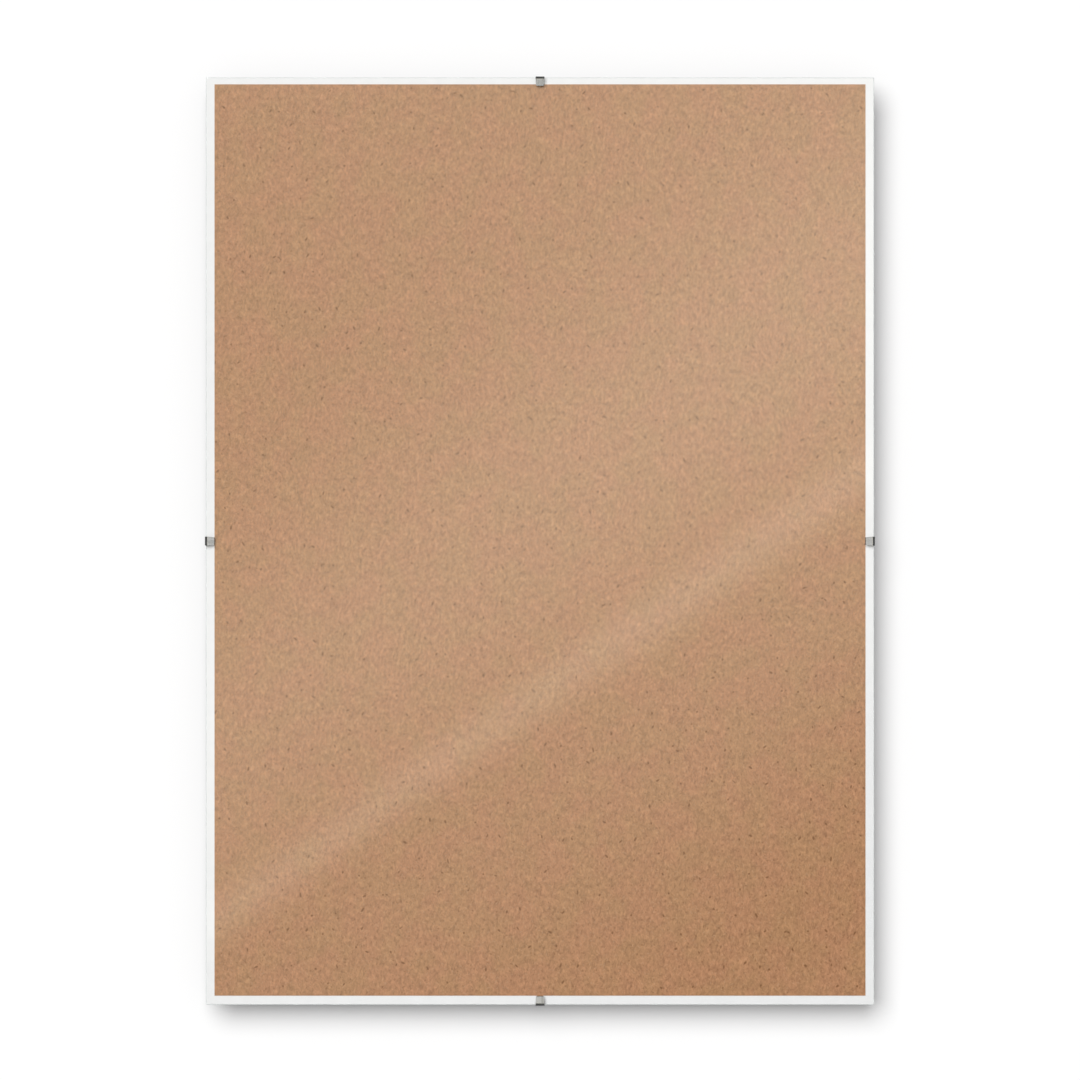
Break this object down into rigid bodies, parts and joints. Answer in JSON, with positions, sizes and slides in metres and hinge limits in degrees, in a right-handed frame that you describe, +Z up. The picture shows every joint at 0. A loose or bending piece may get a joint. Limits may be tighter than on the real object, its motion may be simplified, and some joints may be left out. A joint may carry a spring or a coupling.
{
  "type": "clip frame",
  "caption": "Frameless clip frame: a glass pane over a kraft sheet, white card and hardboard back, gripped by spring clips at the edges and hung by a wire ring that swings in a strap.",
  "frame": {"origin": "the point inside the crown of the portrait ring where the nail carries the frame", "axes": "+X right as seen from the front, +Y back towards the wall, +Z up; the glass faces -Y"},
  "size_m": [0.5148, 0.0103, 0.7138],
  "materials": {
    "glass": "clear float glass with ground edges",
    "kraft": "uncoated brown kraft with fibres and flecks",
    "white_card": "smooth white card",
    "hardboard": "pressed brown fibreboard, screen pattern on the rear",
    "spring_steel": "satin nickel-plated spring steel",
    "plated_steel": "zinc-plated steel"
  },
  "bodies": {
    "frame": {"glass_pane": "glass", "insert_sheet": "kraft", "backing_card": "white_card", "back_panel": "hardboard", "portrait_strap": "plated_steel", "portrait_rivet": "plated_steel", "landscape_strap": "plated_steel", "landscape_rivet": "plated_steel"},
    "top_clip": {"clip_top": "spring_steel"},
    "right_clip": {"clip_right": "spring_steel"},
    "bottom_clip": {"clip_bottom": "spring_steel"},
    "left_clip": {"clip_left": "spring_steel"},
    "upright_ring": {"portrait_ring": "plated_steel"},
    "sideways_ring": {"landscape_ring": "plated_steel"}
  },
  "joints": [
    {"name": "top_clip_lever", "type": "hinge", "parent": "frame", "child": "top_clip", "pos_m": [0, -0.00831, 0.0386], "axis": [1, 0, 0], "range_deg": [0, 15], "stiffness_Nm_per_rad": 0.5},
    {"name": "right_clip_lever", "type": "hinge", "parent": "frame", "child": "right_clip", "pos_m": [0.2501, -0.00831, -0.311], "axis": [0, 0, -1], "range_deg": [0, 15], "stiffness_Nm_per_rad": 0.5},
    {"name": "bottom_clip_lever", "type": "hinge", "parent": "frame", "child": "bottom_clip", "pos_m": [0, -0.00831, -0.6606], "axis": [-1, 0, 0], "range_deg": [0, 15], "stiffness_Nm_per_rad": 0.5},
    {"name": "left_clip_lever", "type": "hinge", "parent": "frame", "child": "left_clip", "pos_m": [-0.2501, -0.00831, -0.311], "axis": [0, 0, 1], "range_deg": [0, 15], "stiffness_Nm_per_rad": 0.5},
    {"name": "portrait_ring_swing", "type": "hinge", "parent": "frame", "child": "upright_ring", "pos_m": [0, 0, -0.014], "axis": [-1, 0, 0], "range_deg": [0, 168]},
    {"name": "landscape_ring_swing", "type": "hinge", "parent": "frame", "child": "sideways_ring", "pos_m": [-0.1975, 0, -0.311], "axis": [0, 0, -1], "range_deg": [0, 168]}
  ]
}
